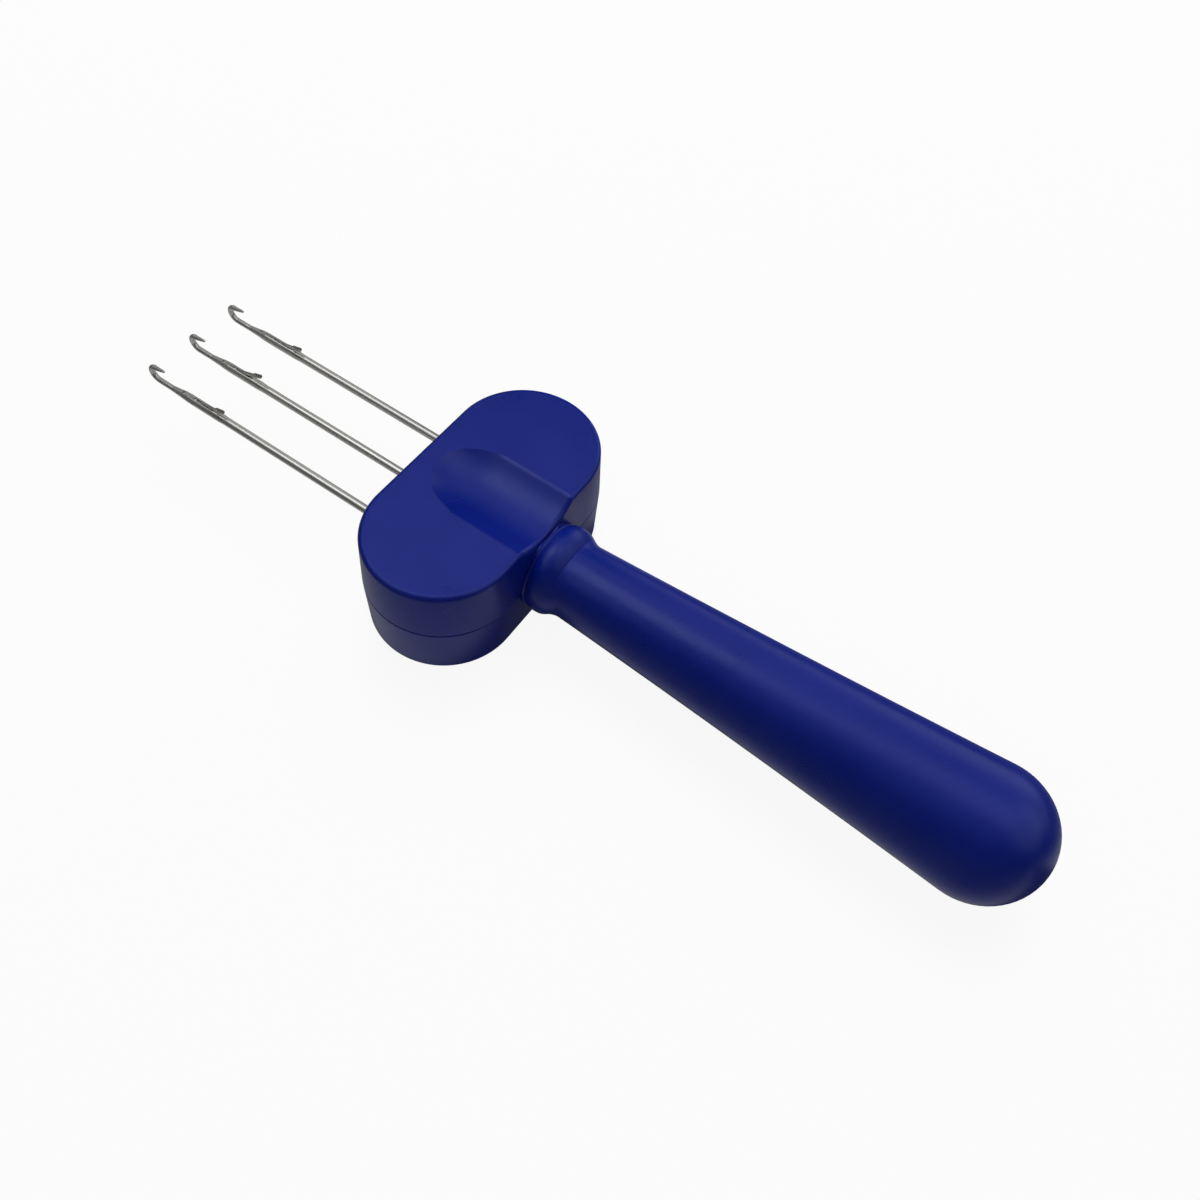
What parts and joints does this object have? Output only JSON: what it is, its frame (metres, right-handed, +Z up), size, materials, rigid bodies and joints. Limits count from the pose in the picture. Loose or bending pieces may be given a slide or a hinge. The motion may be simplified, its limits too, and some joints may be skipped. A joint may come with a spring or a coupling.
{
  "type": "latch hook tool",
  "caption": "Hand tool with a row of latch needles held in a two-shell head on a tapered round handle, for pulling yarn through canvas or mesh.",
  "frame": {"origin": "centre of the head's flat underside", "axes": "+X runs from the handle to the hook ends, +Y to the left needle and +Z up through the thumb groove in the head's top face"},
  "size_m": [0.1759, 0.05, 0.0224],
  "materials": {
    "bottom_shell_plastic": "satin moulded",
    "top_shell_plastic": "satin moulded",
    "handle_plastic": "satin moulded",
    "natural_nylon": "moulded, unpigmented",
    "needle_steel": "drawn and polished wire",
    "latch_steel": "pressed and tumbled",
    "rivet_steel": "peened flush",
    "zinc_plated_screws": "bright zinc plate",
    "zinc_plated_plate": "bright zinc plate",
    "black_screw_steel": "black oxide",
    "insert_brass": "turned"
  },
  "bodies": {
    "tool_body": {"head_bottom_shell": "bottom_shell_plastic", "head_top_shell": "top_shell_plastic", "shell_screws": "zinc_plated_screws", "needle_bed": "natural_nylon", "clamp_plate": "zinc_plated_plate", "clamp_screws": "zinc_plated_screws", "needle_left": "needle_steel", "needle_middle": "needle_steel", "needle_right": "needle_steel", "rivet_left": "rivet_steel", "rivet_middle": "rivet_steel", "rivet_right": "rivet_steel", "handle": "handle_plastic", "handle_insert": "insert_brass", "handle_screw": "black_screw_steel", "handle_washer": "zinc_plated_plate", "handle_spring_washer": "black_screw_steel"},
    "left_latch": {"latch_left": "latch_steel"},
    "middle_latch": {"latch_middle": "latch_steel"},
    "right_latch": {"latch_right": "latch_steel"}
  },
  "joints": [
    {"name": "left_latch_hinge", "type": "hinge", "parent": "tool_body", "child": "left_latch", "pos_m": [0.05892, 0.01, 0.0106], "axis": [0, 1, 0], "range_deg": [0, 139]},
    {"name": "middle_latch_hinge", "type": "hinge", "parent": "tool_body", "child": "middle_latch", "pos_m": [0.05892, 0, 0.0106], "axis": [0, 1, 0], "range_deg": [-6.5, 132.5]},
    {"name": "right_latch_hinge", "type": "hinge", "parent": "tool_body", "child": "right_latch", "pos_m": [0.05892, -0.01, 0.0106], "axis": [0, 1, 0], "range_deg": [0, 139]}
  ]
}
